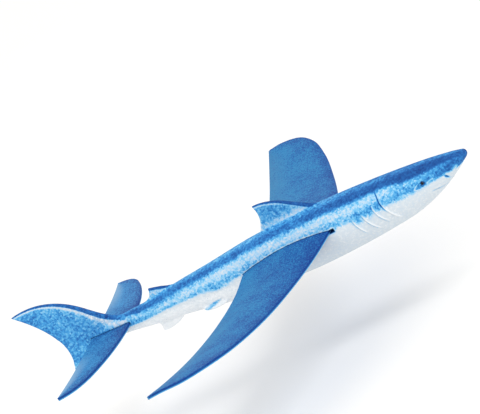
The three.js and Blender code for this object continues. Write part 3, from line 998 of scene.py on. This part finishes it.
def noise_at(tree, place, scale, detail=2.0, roughness=0.5):
    return add(tree, "TexNoise", {
        "Vector": place, "Scale": scale, "Detail": detail, "Roughness": roughness}).outputs["Fac"]


def field(tree, name):
    return add(tree, "Attribute", attribute_name=name, attribute_type="GEOMETRY").outputs["Fac"]


def start_material(name):
    """A new material's tree, its Principled shader and its object coordinates."""
    made = bpy.data.materials.new(name)
    made.use_nodes = True
    tree = made.node_tree
    tree.nodes.clear()
    shader = add(tree, "BsdfPrincipled")
    out = add(tree, "OutputMaterial")
    tree.links.new(shader.outputs[0], out.inputs[0])
    return made, tree, shader, add(tree, "TexCoord").outputs["Object"]


def foam_bump(tree, place, beads, skin_depth):
    """Bead cells of moulded foam with a fine skin texture over them."""
    cells = add(tree, "TexVoronoi", {"Vector": place, "Scale": beads}, feature="SMOOTH_F1")
    fine = noise_at(tree, place, 2600, 3, 0.6)
    bead = add(tree, "Bump", {
        "Strength": 0.5, "Distance": 0.00022, "Height": cells.outputs["Distance"]}, invert=True)
    return add(tree, "Bump", {
        "Strength": skin_depth, "Distance": 0.0001, "Height": fine, "Normal": bead.outputs[0]}).outputs[0]


INK = [
    (0.0, srgb(20, 60, 126)),
    (0.15, srgb(28, 86, 156)),
    (0.3, srgb(44, 116, 186)),
    (0.45, srgb(64, 152, 214)),
    (0.6, srgb(106, 184, 228)),
    (0.75, srgb(160, 205, 233)),
    (0.87, srgb(193, 212, 228)),
    (0.94, srgb(209, 218, 225)),
    (1.0, srgb(240, 243, 245)),
]


def printed_foam():
    """White moulded foam with a speckled blue print, and the painted shade and highlights that its tone
    carries.
    """
    made, tree, shader, place = start_material("printed_foam")
    tone, grain = field(tree, "tone"), field(tree, "grain")
    cells = add(tree, "TexVoronoi", {"Vector": place, "Scale": 620}, feature="F1")
    dots = add(tree, "SeparateColor", {0: cells.outputs["Color"]}).outputs[0]
    clumps = noise_at(tree, place, 380, 3, 0.65)
    patches = noise_at(tree, place, 62, 3, 0.55)
    speckle = math_node(tree, "MULTIPLY_ADD", clumps, 2.2, -1.1)
    speckle = math_node(tree, "MULTIPLY_ADD", dots, 0.9, math_node(tree, "SUBTRACT", speckle, 0.45))
    wander = math_node(tree, "MULTIPLY_ADD", patches, 0.9, -0.45)
    total = math_node(tree, "ADD", speckle, wander)
    level = math_node(tree, "MULTIPLY_ADD", total, grain, tone)
    colour = ramp(tree, level, INK)
    fleck_noise = noise_at(tree, place, 210)
    fleck = math_node(tree, "GREATER_THAN", fleck_noise, 0.755)
    pale = math_node(tree, "GREATER_THAN", tone, 0.85)
    fleck = math_node(tree, "MULTIPLY", fleck, math_node(tree, "MULTIPLY", pale, 0.35))
    colour = mixed(tree, fleck, colour, srgb(120, 150, 185))
    tree.links.new(colour, shader.inputs["Base Color"])
    gloss = noise_at(tree, place, 300)
    tree.links.new(math_node(tree, "MULTIPLY_ADD", gloss, 0.16, 0.5), shader.inputs["Roughness"])
    shader.inputs["Specular IOR Level"].default_value = 0.14
    tree.links.new(foam_bump(tree, place, 420, 0.35), shader.inputs["Normal"])
    return made


def sheet_foam(name, deep, plain, light, sheen_grey, edge, sheen_strength):
    """Blue sheet foam: fine grain, painted shade by the root and leading edge, a painted grey sheen behind
    towards the tips, and painted shade and a painted highlight line on the cut edges.
    """
    made, tree, shader, place = start_material(name)
    span, chord, rim = field(tree, "span"), field(tree, "chord"), field(tree, "rim")
    fine = noise_at(tree, place, 640, 3, 0.75)
    broad = noise_at(tree, place, 45, 3, 0.5)
    level = math_node(tree, "MULTIPLY_ADD", fine, 3.6, -1.8)
    level = math_node(tree, "MULTIPLY_ADD", broad, 0.9, math_node(tree, "SUBTRACT", level, 0.45))
    # Painted shade towards the leading edge and the root, lighter towards the trailing edge.
    front = ranged(tree, chord, 0.0, 0.16, 0.3, 0.5)
    out = ranged(tree, span, 0.08, 0.5, 0.08, 0.28)
    level = math_node(tree, "ADD", level, math_node(tree, "ADD", front, out))
    level = math_node(tree, "MULTIPLY_ADD", chord, 0.5, math_node(tree, "SUBTRACT", level, 0.22))
    colour = ramp(tree, level, [(0.1, deep), (0.55, plain), (1.0, light)])
    # A painted grey sheen on the rear of the sheet towards its tips.
    behind = ranged(tree, chord, 0.55, 0.95, 0.0, 1.0)
    tips = ranged(tree, span, 0.35, 0.8, 0.0, sheen_strength)
    sheen_patch = math_node(tree, "MULTIPLY", behind, tips)
    mottle = math_node(tree, "MULTIPLY_ADD", fine, 0.8, 0.6)
    colour = mixed(tree, math_node(tree, "MULTIPLY", sheen_patch, mottle, clamp=True), colour, sheen_grey)
    # Painted shade on the cut edges, and a painted highlight line along them.
    colour = mixed(tree, math_node(tree, "MULTIPLY", rim, 0.75), colour, deep)
    colour = mixed(tree, field(tree, "line"), colour, edge)
    tree.links.new(colour, shader.inputs["Base Color"])
    gloss = noise_at(tree, place, 260)
    tree.links.new(math_node(tree, "MULTIPLY_ADD", gloss, 0.16, 0.52), shader.inputs["Roughness"])
    shader.inputs["Specular IOR Level"].default_value = 0.14
    tree.links.new(foam_bump(tree, place, 560, 0.5), shader.inputs["Normal"])
    return made


def eye_gloss():
    """Glossy plastic, a black pupil in a dark blue ring, with a faint mottle."""
    made, tree, shader, place = start_material("eye_gloss")
    black = ramp(tree, noise_at(tree, place, 900), [(0.3, srgb(4, 5, 8)), (0.8, srgb(10, 12, 18))])
    blue = ramp(tree, noise_at(tree, place, 1400), [(0.3, srgb(24, 56, 108)), (0.8, srgb(38, 78, 134))])
    colour = mixed(tree, field(tree, "pupil"), blue, black)
    tree.links.new(colour, shader.inputs["Base Color"])
    smear = noise_at(tree, place, 700)
    tree.links.new(math_node(tree, "MULTIPLY_ADD", smear, 0.08, 0.06), shader.inputs["Roughness"])
    shader.inputs["Specular IOR Level"].default_value = 0.22
    shader.inputs["Coat Weight"].default_value = 0.08
    shader.inputs["Coat Roughness"].default_value = 0.05
    return made


def turned_steel():
    """Turned steel of the hidden nose weight, ringed along its axis."""
    made, tree, shader, place = start_material("turned_steel")
    rings = add(tree, "TexWave", {"Vector": place, "Scale": 900, "Distortion": 1.5, "Detail": 2},
                bands_direction="X").outputs["Fac"]
    spots = noise_at(tree, place, 400, 4, 0.6)
    colour = ramp(tree, spots, [(0.3, srgb(120, 122, 126)), (0.7, srgb(168, 170, 174))])
    tree.links.new(colour, shader.inputs["Base Color"])
    shader.inputs["Metallic"].default_value = 1.0
    tree.links.new(math_node(tree, "MULTIPLY_ADD", rings, 0.15, 0.3), shader.inputs["Roughness"])
    bump = add(tree, "Bump", {"Strength": 0.2, "Distance": 0.00005, "Height": rings})
    tree.links.new(bump.outputs[0], shader.inputs["Normal"])
    return made


def dress(item, material):
    item.data.materials.clear()
    item.data.materials.append(material)


body_foam = printed_foam()
# Colours: deep (also the painted shade), plain, light, the painted sheen's grey and the painted highlight
# line; then the sheen's strength.
wing_foam = sheet_foam("wing_foam", srgb(14, 60, 136), srgb(28, 96, 166), srgb(46, 132, 184),
                       srgb(84, 122, 152), srgb(72, 164, 218), 0.25)
tail_foam = sheet_foam("tail_foam", srgb(16, 62, 134), srgb(34, 94, 162), srgb(62, 142, 198),
                       srgb(118, 162, 200), srgb(72, 164, 218), 1.4)
eye_plastic = eye_gloss()
dress(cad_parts["nose_weight"], turned_steel())

# ---------------------------------------------------------------- pieces on their bodies
PIECES = [
    (body_left, body_foam, "fuselage", "fuselage_left_half", "moulded_foam"),
    (body_right, body_foam, "fuselage", "fuselage_right_half", "moulded_foam"),
    (eye_left, eye_plastic, "fuselage", "eye_left", "eye_plastic"),
    (eye_right, eye_plastic, "fuselage", "eye_right", "eye_plastic"),
    (left_wing, wing_foam, "left_wing_panel", "left_wing", "wing_sheet_foam"),
    (right_wing, wing_foam, "right_wing_panel", "right_wing", "wing_sheet_foam"),
    (tailplane, tail_foam, "tail_sheet", "tailplane", "tail_sheet_foam"),
]
for item, material, carrier, node, slot in PIECES:
    dress(item, material)
    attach(item, carrier)
    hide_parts(node)

# ---------------------------------------------------------------- floor, light, camera
FLOOR_DROP = 0.08
floor_z = CAD_LOW[2] - FLOOR_DROP


def floor_piece():
    """A plain pale floor: a wide flat disc of rings."""
    radii, sides = [0.6, 2.0, 6.0, 14.0, 24.0], 96
    turns = np.linspace(0, 2 * math.pi, sides, endpoint=False)
    points = [(0, 0, floor_z), *((r * math.cos(t), r * math.sin(t), floor_z) for r in radii for t in turns)]
    return mesh_object("studio_floor", points, fan_faces(0, 1, sides) + ring_faces(len(radii), sides, 1))


floor = floor_piece()
made, tree, shader, place = start_material("pale_floor")
tint = ramp(tree, noise_at(tree, place, 3), [(0.3, (0.95, 0.935, 0.91, 1)), (0.7, (0.96, 0.95, 0.93, 1))])
tree.links.new(tint, shader.inputs["Base Color"])
shader.inputs["Roughness"].default_value = 0.9
shader.inputs["Specular IOR Level"].default_value = 0.1
dress(floor, made)

scene = bpy.context.scene
world = bpy.data.worlds.new("studio")
scene.world = world
world.use_nodes = True
world.node_tree.nodes["Background"].inputs["Color"].default_value = (1.0, 1.0, 1.0, 1)
world.node_tree.nodes["Background"].inputs["Strength"].default_value = 0.92
scene.view_settings.view_transform = "Standard"
scene.view_settings.look = "None"


def soft_lamp(name, place, size, power):
    """A large square area lamp that faces the glider."""
    data = bpy.data.lights.new(name, "AREA")
    data.shape = "SQUARE"
    data.size = size
    data.energy = power
    lamp = linked(name, data)
    lamp.location = place
    lamp.rotation_mode = "QUATERNION"
    lamp.rotation_quaternion = (-Vector(place)).to_track_quat("-Z", "Y")


soft_lamp("key", (4.8, -2.1, 6.0), 3.6, 200)
soft_lamp("fill", (-1.2, -2.2, 1.2), 1.8, 8)

# The camera looks at the glider from its right, a little ahead and above, and is
# rolled so that the snout points up to the right.
AZIMUTH, ELEVATION, ROLL = (math.radians(a) for a in (23.3, 15.0, 32.6))
DISTANCE, RIGHT, UP = 5.58, -0.094488, 0.011811
LENS = 450.0
facing = Vector((math.sin(AZIMUTH) * math.cos(ELEVATION), -math.cos(AZIMUTH) * math.cos(ELEVATION),
                 math.sin(ELEVATION)))
level = Vector((0, 0, 1)).cross(facing).normalized()
upright = facing.cross(level)
right = math.cos(ROLL) * level - math.sin(ROLL) * upright
up = math.sin(ROLL) * level + math.cos(ROLL) * upright
camera_data = bpy.data.cameras.new("camera")
camera_data.lens = LENS
camera_data.sensor_width = 36.0
camera_data.clip_start, camera_data.clip_end = 0.1, 100.0
camera = linked("camera", camera_data)
spot = Vector(DATUM) + facing * DISTANCE + right * RIGHT + up * UP
camera.matrix_world = Matrix.Translation(spot) @ Matrix((right, up, facing)).transposed().to_4x4()
scene.camera = camera
